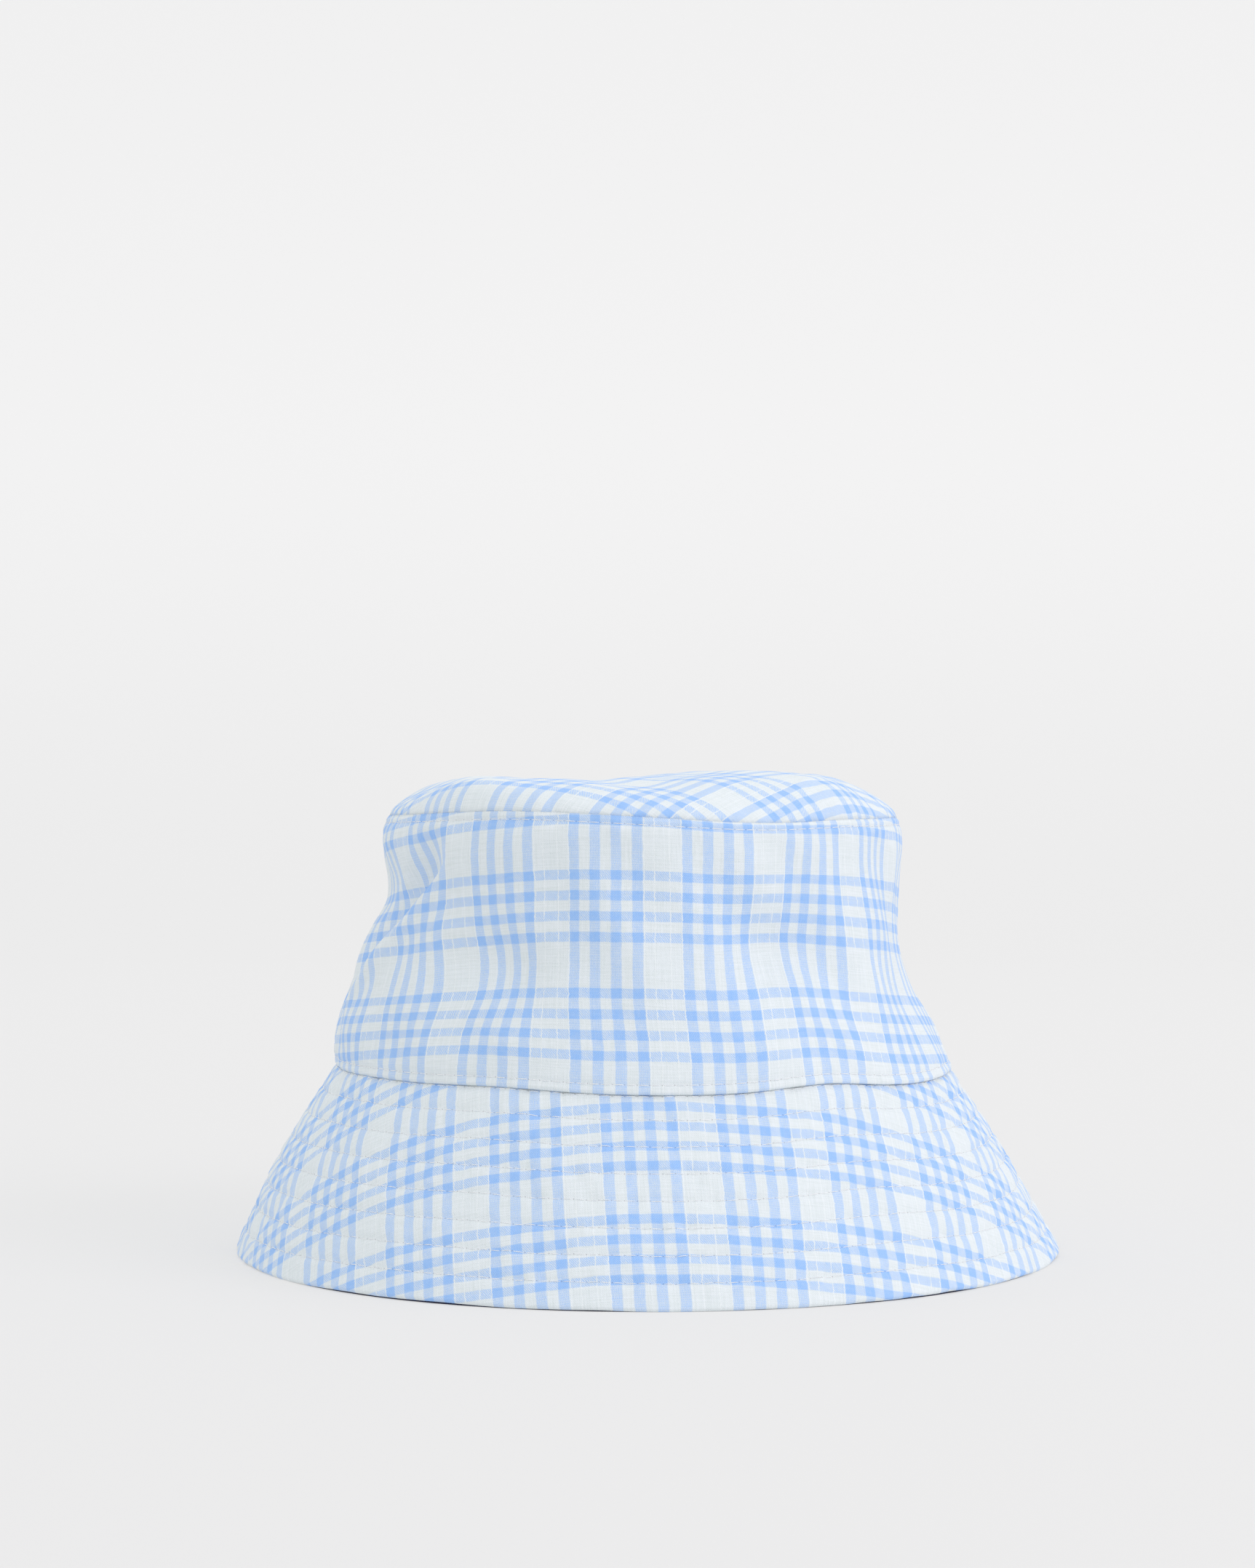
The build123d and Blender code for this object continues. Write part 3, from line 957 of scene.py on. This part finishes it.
def brim_rows(step):
    """Distances down the brim, step mm apart, that stop at or just short of its edge."""
    return np.arange(0, BRIM_SLANT + 1e-6, step)


def stitch_total(k):
    """How many stitches row k of the brim has."""
    return ring_count(HEAD_HALF + (BRIM_HALF - HEAD_HALF) * row_at(k) / BRIM_SLANT)


def brim_values(aa, ww):
    off = np.full_like(aa, NO_STITCH)
    count = np.zeros_like(aa)
    for k in range(BRIM_ROWS):
        gap = np.abs(ww - row_at(k))
        near = gap < off
        off = np.where(near, gap, off)
        count = np.where(near, stitch_total(k) * arc_of(aa) / ROUND, count)
    return stitch_values(off, count)


def brim_upper(name, span, centre):
    a = angles_round(span, BRIM_MIDDLE, 1.45)
    w = np.concatenate([brim_rows(0.75)[:-1], np.linspace(BRIM_SLANT, BRIM_SLANT + 1.6 * CURL, 7)])
    aa, ww = pairs(a, w)
    face = curled(aa, ww) - outward_at(aa) * seam_dip(aa, span, BRIM_MIDDLE, 0.45, 1.8)[..., None]
    uv = brim_grain(aa, ww, centre)
    obj = thick_sheet(name, face, CLOTH, outward_at(aa), uv, PLAID, brim_values(aa, ww))
    cloth_piece(obj, name, "plaid_cotton", BRIM_CUT, "stretched", name.replace("upper", "interlining"))


def under_point(a, w):
    """The under ply's exposed face: it runs on past the top ply's edge and rolls out under it."""
    inner = np.minimum(w, BRIM_SLANT)
    point, normal, slope = brim_frame(a, inner)
    lift = np.clip(quilting(a, inner) * -0.6, -0.2, 0.3) - UNDER_DEPTH
    past = np.clip(w - BRIM_SLANT, 0, UNDER_END - BRIM_SLANT)
    edge = point + normal * lift[..., None] + slope * past[..., None]
    return rolled(edge, w - UNDER_END, slope, -normal)


def brim_under(name, span, centre):
    a = angles_round(span, BRIM_MIDDLE, 1.45)
    past_edge = np.linspace(BRIM_SLANT, UNDER_END, 4)
    roll = UNDER_END + np.linspace(0.2, CURL, 5)
    w = np.concatenate([brim_rows(0.75)[:-1], past_edge, roll])
    aa, ww = pairs(a, w)
    face = under_point(aa, ww) + outward_at(aa) * seam_dip(aa, span, BRIM_MIDDLE, 0.3, 1.8)[..., None]
    uv = brim_grain(aa, ww, centre) + 140
    obj = thick_sheet(name, face, UNDER_CLOTH, -outward_at(aa), uv, NAVY_CLOTH, brim_values(aa, ww))
    cloth_piece(obj, name, "navy_cotton", BRIM_CUT, "stretched", name.replace("under", "interlining"))


def brim_interlining(name, span, centre):
    """The stiffening is cut a little short of the side seams."""
    inset = 3.5 / BRIM_MIDDLE
    a = angles_round((span[0] + inset, span[1] - inset), BRIM_MIDDLE, 2.2)
    aa, ww = pairs(a, brim_rows(1.5))
    face = brim_point(aa, ww, INTERLINING_DEPTH)
    obj = thick_sheet(name, face, INTERLINING, outward_at(aa), brim_grain(aa, ww, centre), CANVAS)
    cloth_piece(obj, name, "interlining_canvas", BRIM_CUT, "stretched", name.replace("interlining", "under"))


# Half widths of the lining and the sweatband: as cut, and where their seams and stitches are counted.
LINING_MEAN, LINING_HALF = 78.0, 76
BAND_MEAN, BAND_HALF = 84.0, 83


def lining_point(a, w):
    """The lining's exposed face: loose over the sweatband, and held flat at the seams and the label."""
    hold = 1 - smooth(CROWN_HEIGHT - 14, CROWN_HEIGHT - 3, w)
    calm = 1 - 0.85 * bell(np.abs(wrapped(a)), 180, 16)
    free = smooth(BAND_HEIGHT, BAND_HEIGHT + 14, w)
    slack = 0.3 + (0.5 + 0.55 * ripple(a, w, 51, (7, 26), (22, 60))) * hold * calm * free
    behind_fold = 1.2 * bell(wrapped(a), -60, 14) * free
    return crown_point(a, w, LINING_DEPTH + np.maximum(slack, 0.1) + behind_fold)


def lining_side(name, span, centre):
    a = angles_round(span, LINING_HALF, 1.8)
    w = np.linspace(0.2, CROWN_HEIGHT - 1.3, 44)
    aa, ww = pairs(a, w)
    face = lining_point(aa, ww) + outward_at(aa) * seam_dip(aa, span, LINING_HALF, 0.15, 1.6)[..., None]
    uv = np.stack([arc_of(aa) * LINING_MEAN, ww], axis=-1)
    obj = thick_sheet(name, face, LINING, -outward_at(aa), uv, LINING_CLOTH)
    width, length = ROUND / 2 * LINING_MEAN, CROWN_HEIGHT
    cloth_piece(obj, name, "navy_lining", (width, length, width * length), "hung", "crown_tip")


def lining_tip():
    a = angle_at(np.linspace(0, ROUND, 241)[:-1])
    r = np.concatenate([[0], np.linspace(0.04, 1.0, 40)])
    aa, rr = pairs(a, r)
    face = tip_point(aa, rr, LINING_TIP_DEPTH)
    waves = 0.5 * ripple(aa, rr * 75, 52, (3, 12), (24, 60)) * smooth(0.1, 0.5, rr) * (1 - rr**6)
    face[..., 2] -= 0.9 * (1 - rr**4) + waves
    obj = disc_sheet("lining_tip", face, LINING, face[..., :2], LINING_CLOTH, down=True)
    cloth_piece(obj, "lining_tip", "navy_lining", TIP_CUT, "hung", "crown_tip")


def band_point(a, w):
    """The sweatband's exposed face. Its lower edge is tucked in behind the brim's seam."""
    lean = 0.5 + 0.012 * w + 0.35 * ripple(a, w, 61, (4, 12), (60, 120)) * smooth(4, BAND_HEIGHT, w)
    tuck = 1.7 * (1 - smooth(-0.6, 2.5, w))
    return crown_point(a, w, BAND_DEPTH + np.maximum(lean, 0.1) - tuck)


def sweatband():
    a = angle_at(np.linspace(0, ROUND, 401)[:-1])
    w = np.concatenate([np.linspace(-1.0, 2.5, 7)[:-1], np.linspace(2.5, BAND_HEIGHT - 1.5, 24)])
    aa, ww = pairs(a, w)
    uv = np.stack([arc_of(aa) * BAND_MEAN, ww + 1.0], axis=-1)
    face = band_point(aa, ww)
    obj = thick_sheet("sweatband", face, SWEATBAND, -outward_at(aa), uv, BAND, closed=True)
    length = ROUND * BAND_MEAN
    cut = (BAND_HEIGHT, length, BAND_HEIGHT * length)
    cloth_piece(obj, "sweatband", "navy_sweatband", cut, "stretched", "brim_under_front", "brim_under_back")


# ---- stitching ----
def row_path(point, w, side):
    """A path round the hat at w, on the outer (side 1) or inner (side -1) face of point."""
    def path(share):
        a = angle_at(share * ROUND)
        ww = np.full_like(a, w)
        here = point(a, ww)
        ahead = point(a + 1e-3, ww)
        down = point(a, ww + 0.2)
        n = unit(np.cross(ahead - here, down - here))
        out = outward_at(a) * side
        return here, n * np.sign((n * out).sum(-1, keepdims=True))
    return path


def stitching():
    """The rows that run round the hat. The brim's have a navy bobbin thread on their underside."""
    for k in range(BRIM_ROWS):
        total = stitch_total(k)
        needle = stitch_mesh(row_path(brim_point, row_at(k), 1), total)
        bobbin = stitch_mesh(row_path(under_point, row_at(k), -1), total, sides=5, stations=5)
        name = f"brim_stitch_row_{k}"
        stitch_piece(name, "white_thread", (needle, THREAD), (bobbin, NAVY_THREAD))
    crown_rows = (("crown_base_topstitch", BASE_STITCH, BASE_HALF), ("tip_topstitch", TIP_STITCH, TOP_HALF))
    for name, w, size in crown_rows:
        run = stitch_mesh(row_path(crown_point, w, 1), ring_count(size))
        stitch_piece(name, "white_thread", (run, THREAD))
    run = stitch_mesh(row_path(band_point, 1.2, -1), ring_count(BAND_HALF))
    stitch_piece("sweatband_stitch", "navy_thread", (run, NAVY_THREAD))


def care_label():
    """A blank satin strip, folded into a loop at its lower end, with a slight curl."""
    wide = label_high[0] - label_low[0]
    long = label_high[2] - label_low[2]
    middle_y = (label_low[1] + label_high[1]) / 2
    bend = 0.45
    x = np.linspace(-wide / 2, wide / 2, 15)
    front_leg = np.linspace(0, long - 0.5, 30)
    fold = np.linspace(long - bend, long + bend, 7)
    back_leg = np.linspace(long + 0.5, 2 * long, 30)
    xx, ss = pairs(x, np.concatenate([front_leg, fold, back_leg]))
    down = np.minimum(np.minimum(ss, 2 * long - ss), long - 0.05)
    gap = 0.16 + 0.28 * smooth(0.4, 1.0, down / long)
    leg = np.where(ss < long, -1.0, 1.0) * np.clip(np.abs(ss - long) / bend, 0, 1)
    curl = -0.9 * (down / long) ** 2 - 0.35 * np.sin(math.pi * xx / wide) ** 2 * (down / long)
    face = np.stack([xx, middle_y + curl + leg * gap, label_high[2] - down], axis=-1)
    normals = unit(np.cross(np.gradient(face, axis=0), np.gradient(face, axis=1)))
    # All the normals point out of the loop, as the front leg's do towards the middle of the hat.
    normals = normals * -np.sign(normals[7, 5, 1])
    back = face - normals * LABEL_CLOTH
    obj = slab("care_label", face, back, False, np.stack([xx, ss], axis=-1), LABEL)
    cut = (wide, 2 * long, 2 * wide * long)
    cloth_piece(obj, "care_label", "label_satin", cut, "folded", "sweatband", body="label")


def label_stitch():
    """Seven stitches across the label's upper edge."""
    bar_low, bar_high = millimetres("care_label_stitch")
    start = np.array([bar_low[0], (bar_low[1] + bar_high[1]) / 2, bar_low[2]])

    def path(share):
        place = start + share[..., None] * np.array([bar_high[0] - bar_low[0], 0.0, 0.0])
        return place, np.zeros_like(place) + np.array([0.0, -1.0, 0.0])

    run = stitch_mesh(path, 7)
    stitch_piece("care_label_stitch", "white_thread", (run, THREAD))


# ---- studio, in metres ----
def place_in_scene(name, data, place, turn):
    """A lamp or camera at place, turned by these Euler angles."""
    obj = bpy.data.objects.new(name, data)
    obj.location = place
    obj.rotation_euler = turn
    bpy.context.scene.collection.objects.link(obj)
    return obj


def cove_paper():
    """Matt pale paper, a little lighter up the wall. Part of its light is its own, so no shadow is deep."""
    g = Graph("cove_paper", 0.9, 0.0, 0.1)
    place = g.node("ShaderNodeTexCoord").outputs["Object"]
    rise = g.ramp(g.split(place)[2], 0.0, 0.5)
    paper = g.mix(rise, linear(160, 160, 160), linear(171, 171, 171))
    g.colour(g.mix(g.times(g.noise(place, 0.8, 2.0), 0.05), paper, linear(168, 168, 168)))
    g.shader.inputs["Emission Color"].default_value = (1.0, 1.0, 1.0, 1.0)
    g.shader.inputs["Emission Strength"].default_value = 0.45
    return g.material


def cove():
    """A pale floor that runs up into a wall behind the hat."""
    half_width, floor_front, floor_back, bend, top = 14.0, -14.0, 1.5, 0.9, 4.2
    profile = [(floor_front, 0.0), (floor_back, 0.0)]
    for step in range(1, 25):
        turn = step / 24 * math.pi / 2
        profile.append((floor_back + bend * math.sin(turn), bend * (1 - math.cos(turn))))
    profile.append((floor_back + bend, top))
    verts = np.array([[x, y, z] for x in (-half_width, half_width) for y, z in profile]) / MM
    make_mesh("cove", verts, quads(2, len(profile), 0, False, False), [cove_paper()])


def lamp(name, place, target, size, power, colour=(1.0, 1.0, 1.0)):
    data = bpy.data.lights.new(name, "AREA")
    data.shape = "RECTANGLE"
    data.size, data.size_y = size
    data.energy = power
    data.color = colour
    aim = Vector(np.array(target) - np.array(place))
    place_in_scene(name, data, place, aim.to_track_quat("-Z", "Y").to_euler())


def studio():
    """Soft light from all round, with a key from the right and a wash on the wall."""
    cove()
    world = bpy.data.worlds.new("studio")
    bpy.context.scene.world = world
    world.use_nodes = True
    background = world.node_tree.nodes["Background"]
    background.inputs["Color"].default_value = (1.0, 1.0, 1.0, 1.0)
    background.inputs["Strength"].default_value = 0.93
    lamp("key", (1.9, -1.1, 1.2), (0, 0, 0.08), (1.8, 1.8), 15.0, (1.0, 0.93, 1.0))
    lamp("wall_wash", (0.0, 0.9, 2.9), (0.0, 2.4, 0.9), (3.6, 0.5), 14)
    bpy.context.scene.view_settings.view_transform = "Standard"


def camera():
    """A level camera in front of the hat, at about the height of its top."""
    data = bpy.data.cameras.new("camera")
    data.sensor_width = 36.0
    data.lens = 77.9
    data.clip_start, data.clip_end = 0.05, 50.0
    bpy.context.scene.camera = place_in_scene("camera", data, (-0.0058, -0.981, 0.1332), (math.pi / 2, 0, 0))


def both_halves(build, name):
    for side, span, centre in HALVES:
        build(f"{name}_{side}", span, centre)


camera()
studio()
both_halves(crown_side, "crown_side")
crown_tip()
both_halves(brim_upper, "brim_upper")
both_halves(brim_under, "brim_under")
both_halves(brim_interlining, "brim_interlining")
both_halves(lining_side, "lining_side")
lining_tip()
sweatband()
stitching()
care_label()
label_stitch()
